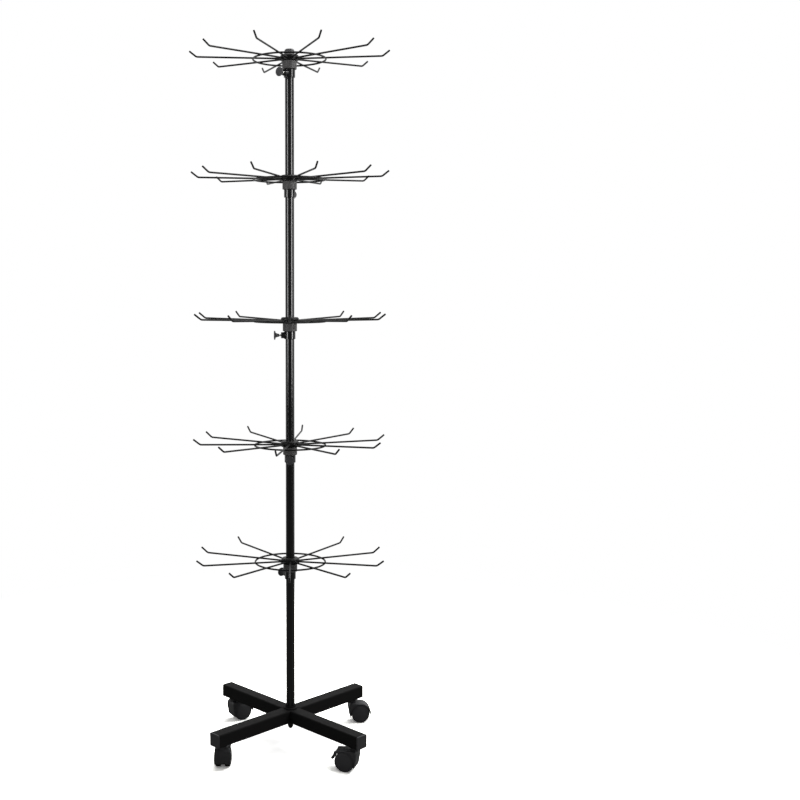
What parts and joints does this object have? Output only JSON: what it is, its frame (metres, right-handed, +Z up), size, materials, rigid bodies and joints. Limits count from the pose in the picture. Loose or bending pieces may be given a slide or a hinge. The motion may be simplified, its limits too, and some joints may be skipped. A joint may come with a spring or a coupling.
{
  "type": "rotating storage rack",
  "caption": "Tall black display rack on castors: wheels of wire hooks turn on a central pole and clamp at any height with thumb screws.",
  "frame": {"origin": "on the floor, on the pole's axis", "axes": "+Z up along the pole; the legs lie 45 degrees off X and Y, and -Y is the side that the picture shows, with +X to its right"},
  "size_m": [0.4422, 0.442, 1.5798],
  "materials": {
    "black_moulded_plastic": "matte black moulded plastic",
    "black_powder_coat": "satin black powder coat over square steel tube",
    "black_wheel_plastic": "smooth black moulded plastic",
    "black_wire_coat": "satin black powder coat over welded steel wire",
    "blackened_steel": "blackened steel",
    "gloss_black_paint": "gloss black paint over steel tube and turned collars",
    "grey_sleeve_plastic": "matte dark grey moulded plastic",
    "zinc_plated_steel": "bright zinc-plated steel"
  },
  "bodies": {
    "base": {"leg_tube_lower": "black_powder_coat", "leg_tube_upper": "black_powder_coat", "leg_cap_front_left": "black_moulded_plastic", "leg_cap_front_right": "black_moulded_plastic", "leg_cap_back_right": "black_moulded_plastic", "leg_cap_back_left": "black_moulded_plastic", "foot_flange": "black_powder_coat", "foot_stud": "blackened_steel", "base_nut": "blackened_steel", "pole_lower": "gloss_black_paint", "pole_upper": "gloss_black_paint", "pole_spigot": "blackened_steel", "pole_cap": "black_moulded_plastic", "castor_stem_front_left": "blackened_steel", "castor_stem_front_right": "blackened_steel", "castor_stem_back_right": "blackened_steel", "castor_stem_back_left": "blackened_steel"},
    "collar_1": {"lock_collar_1": "gloss_black_paint"},
    "tier_1": {"hook_wheel_1": "black_wire_coat", "bearing_sleeve_1": "grey_sleeve_plastic"},
    "screw_1": {"clamp_screw_1": "zinc_plated_steel"},
    "knob_1": {"thumb_knob_1": "black_moulded_plastic"},
    "collar_2": {"lock_collar_2": "gloss_black_paint"},
    "tier_2": {"hook_wheel_2": "black_wire_coat", "bearing_sleeve_2": "grey_sleeve_plastic"},
    "screw_2": {"clamp_screw_2": "zinc_plated_steel"},
    "knob_2": {"thumb_knob_2": "black_moulded_plastic"},
    "collar_3": {"lock_collar_3": "gloss_black_paint"},
    "tier_3": {"hook_wheel_3": "black_wire_coat", "bearing_sleeve_3": "grey_sleeve_plastic"},
    "screw_3": {"clamp_screw_3": "zinc_plated_steel"},
    "knob_3": {"thumb_knob_3": "black_moulded_plastic"},
    "collar_4": {"lock_collar_4": "gloss_black_paint"},
    "tier_4": {"hook_wheel_4": "black_wire_coat", "bearing_sleeve_4": "grey_sleeve_plastic"},
    "screw_4": {"clamp_screw_4": "zinc_plated_steel"},
    "knob_4": {"thumb_knob_4": "black_moulded_plastic"},
    "collar_5": {"lock_collar_5": "gloss_black_paint"},
    "tier_5": {"hook_wheel_5": "black_wire_coat", "bearing_sleeve_5": "grey_sleeve_plastic"},
    "screw_5": {"clamp_screw_5": "zinc_plated_steel"},
    "knob_5": {"thumb_knob_5": "black_moulded_plastic"},
    "castor_front_left": {"castor_housing_front_left": "black_moulded_plastic", "castor_axle_front_left": "blackened_steel"},
    "wheel_left_front_left": {"castor_wheel_left_front_left": "black_wheel_plastic"},
    "wheel_right_front_left": {"castor_wheel_right_front_left": "black_wheel_plastic"},
    "lever_front_left": {"brake_lever_front_left": "black_moulded_plastic"},
    "castor_front_right": {"castor_housing_front_right": "black_moulded_plastic", "castor_axle_front_right": "blackened_steel"},
    "wheel_left_front_right": {"castor_wheel_left_front_right": "black_wheel_plastic"},
    "wheel_right_front_right": {"castor_wheel_right_front_right": "black_wheel_plastic"},
    "lever_front_right": {"brake_lever_front_right": "black_moulded_plastic"},
    "castor_back_right": {"castor_housing_back_right": "black_moulded_plastic", "castor_axle_back_right": "blackened_steel"},
    "wheel_left_back_right": {"castor_wheel_left_back_right": "black_wheel_plastic"},
    "wheel_right_back_right": {"castor_wheel_right_back_right": "black_wheel_plastic"},
    "castor_back_left": {"castor_housing_back_left": "black_moulded_plastic", "castor_axle_back_left": "blackened_steel"},
    "wheel_left_back_left": {"castor_wheel_left_back_left": "black_wheel_plastic"},
    "wheel_right_back_left": {"castor_wheel_right_back_left": "black_wheel_plastic"}
  },
  "joints": [
    {"name": "tier_slide_1", "type": "slide", "parent": "base", "child": "collar_1", "axis": [0, 0, 1], "range_m": [-0.08, 0]},
    {"name": "tier_spin_1", "type": "hinge", "parent": "collar_1", "child": "tier_1", "pos_m": [0, 0, 1.559], "axis": [0, 0, 1], "continuous": true},
    {"name": "screw_feed_1", "type": "slide", "parent": "collar_1", "child": "screw_1", "axis": [-0.6157, -0.788, 0], "range_m": [0, 0.0016]},
    {"name": "knob_turn_1", "type": "hinge", "parent": "screw_1", "child": "knob_1", "pos_m": [-0.02027, -0.02595, 1.52665], "axis": [-0.6157, -0.788, 0], "range_deg": [0, 721]},
    {"name": "tier_slide_2", "type": "slide", "parent": "base", "child": "collar_2", "axis": [0, 0, 1], "range_m": [-0.08, 0.08]},
    {"name": "tier_spin_2", "type": "hinge", "parent": "collar_2", "child": "tier_2", "pos_m": [0, 0, 1.299], "axis": [0, 0, 1], "continuous": true},
    {"name": "screw_feed_2", "type": "slide", "parent": "collar_2", "child": "screw_2", "axis": [0.1392, 0.9903, 0], "range_m": [0, 0.0016]},
    {"name": "knob_turn_2", "type": "hinge", "parent": "screw_2", "child": "knob_2", "pos_m": [0.00458, 0.03261, 1.26665], "axis": [0.1392, 0.9903, 0], "range_deg": [0, 721]},
    {"name": "tier_slide_3", "type": "slide", "parent": "base", "child": "collar_3", "axis": [0, 0, 1], "range_m": [-0.08, 0.08]},
    {"name": "tier_spin_3", "type": "hinge", "parent": "collar_3", "child": "tier_3", "pos_m": [0, 0, 0.985], "axis": [0, 0, 1], "continuous": true},
    {"name": "screw_feed_3", "type": "slide", "parent": "collar_3", "child": "screw_3", "axis": [-0.9945, -0.1045, 0], "range_m": [0, 0.0016]},
    {"name": "knob_turn_3", "type": "hinge", "parent": "screw_3", "child": "knob_3", "pos_m": [-0.03275, -0.00344, 0.95265], "axis": [-0.9945, -0.1045, 0], "range_deg": [0, 721]},
    {"name": "tier_slide_4", "type": "slide", "parent": "base", "child": "collar_4", "axis": [0, 0, 1], "range_m": [-0.08, 0.08]},
    {"name": "tier_spin_4", "type": "hinge", "parent": "collar_4", "child": "tier_4", "pos_m": [0, 0, 0.705], "axis": [0, 0, 1], "continuous": true},
    {"name": "screw_feed_4", "type": "slide", "parent": "collar_4", "child": "screw_4", "axis": [0, -1, 0], "range_m": [0, 0.0016]},
    {"name": "knob_turn_4", "type": "hinge", "parent": "screw_4", "child": "knob_4", "pos_m": [0, -0.03293, 0.67265], "axis": [0, -1, 0], "range_deg": [0, 721]},
    {"name": "tier_slide_5", "type": "slide", "parent": "base", "child": "collar_5", "axis": [0, 0, 1], "range_m": [-0.08, 0.08]},
    {"name": "tier_spin_5", "type": "hinge", "parent": "collar_5", "child": "tier_5", "pos_m": [0, 0, 0.435], "axis": [0, 0, 1], "continuous": true},
    {"name": "screw_feed_5", "type": "slide", "parent": "collar_5", "child": "screw_5", "axis": [-0.6157, 0.788, 0], "range_m": [0, 0.0016]},
    {"name": "knob_turn_5", "type": "hinge", "parent": "screw_5", "child": "knob_5", "pos_m": [-0.02027, 0.02595, 0.40265], "axis": [-0.6157, 0.788, 0], "range_deg": [0, 721]},
    {"name": "swivel_front_left", "type": "hinge", "parent": "base", "child": "castor_front_left", "pos_m": [-0.14531, -0.14531, 0.0534], "axis": [0, 0, 1], "continuous": true},
    {"name": "roll_left_front_left", "type": "hinge", "parent": "castor_front_left", "child": "wheel_left_front_left", "pos_m": [-0.14599, -0.12582, 0.0225], "axis": [-0.9994, -0.0349, 0], "continuous": true},
    {"name": "roll_right_front_left", "type": "hinge", "parent": "castor_front_left", "child": "wheel_right_front_left", "pos_m": [-0.14599, -0.12582, 0.0225], "axis": [-0.9994, -0.0349, 0], "continuous": true},
    {"name": "brake_front_left", "type": "hinge", "parent": "castor_front_left", "child": "lever_front_left", "pos_m": [-0.14668, -0.10618, 0.04216], "axis": [-0.9994, -0.0349, 0], "range_deg": [0, 8]},
    {"name": "swivel_front_right", "type": "hinge", "parent": "base", "child": "castor_front_right", "pos_m": [0.14531, -0.14531, 0.0534], "axis": [0, 0, 1], "continuous": true},
    {"name": "roll_left_front_right", "type": "hinge", "parent": "castor_front_right", "child": "wheel_left_front_right", "pos_m": [0.12676, -0.13928, 0.0225], "axis": [-0.309, -0.9511, 0], "continuous": true},
    {"name": "roll_right_front_right", "type": "hinge", "parent": "castor_front_right", "child": "wheel_right_front_right", "pos_m": [0.12676, -0.13928, 0.0225], "axis": [-0.309, -0.9511, 0], "continuous": true},
    {"name": "brake_front_right", "type": "hinge", "parent": "castor_front_right", "child": "lever_front_right", "pos_m": [0.10807, -0.13321, 0.04216], "axis": [-0.309, -0.9511, 0], "range_deg": [0, 8]},
    {"name": "swivel_back_right", "type": "hinge", "parent": "base", "child": "castor_back_right", "pos_m": [0.14531, 0.14531, 0.0534], "axis": [0, 0, 1], "continuous": true},
    {"name": "roll_left_back_right", "type": "hinge", "parent": "castor_back_right", "child": "wheel_left_back_right", "pos_m": [0.1647, 0.14735, 0.0225], "axis": [-0.1045, 0.9945, 0], "continuous": true},
    {"name": "roll_right_back_right", "type": "hinge", "parent": "castor_back_right", "child": "wheel_right_back_right", "pos_m": [0.1647, 0.14735, 0.0225], "axis": [-0.1045, 0.9945, 0], "continuous": true},
    {"name": "swivel_back_left", "type": "hinge", "parent": "base", "child": "castor_back_left", "pos_m": [-0.14531, 0.14531, 0.0534], "axis": [0, 0, 1], "continuous": true},
    {"name": "roll_left_back_left", "type": "hinge", "parent": "castor_back_left", "child": "wheel_left_back_left", "pos_m": [-0.12842, 0.15506, 0.0225], "axis": [-0.5, 0.866, 0], "continuous": true},
    {"name": "roll_right_back_left", "type": "hinge", "parent": "castor_back_left", "child": "wheel_right_back_left", "pos_m": [-0.12842, 0.15506, 0.0225], "axis": [-0.5, 0.866, 0], "continuous": true}
  ],
  "couplings": [
    {"joint": "knob_turn_1", "follows": "screw_feed_1", "rad_per_m": 7854},
    {"joint": "knob_turn_2", "follows": "screw_feed_2", "rad_per_m": 7854},
    {"joint": "knob_turn_3", "follows": "screw_feed_3", "rad_per_m": 7854},
    {"joint": "knob_turn_4", "follows": "screw_feed_4", "rad_per_m": 7854},
    {"joint": "knob_turn_5", "follows": "screw_feed_5", "rad_per_m": 7854}
  ]
}
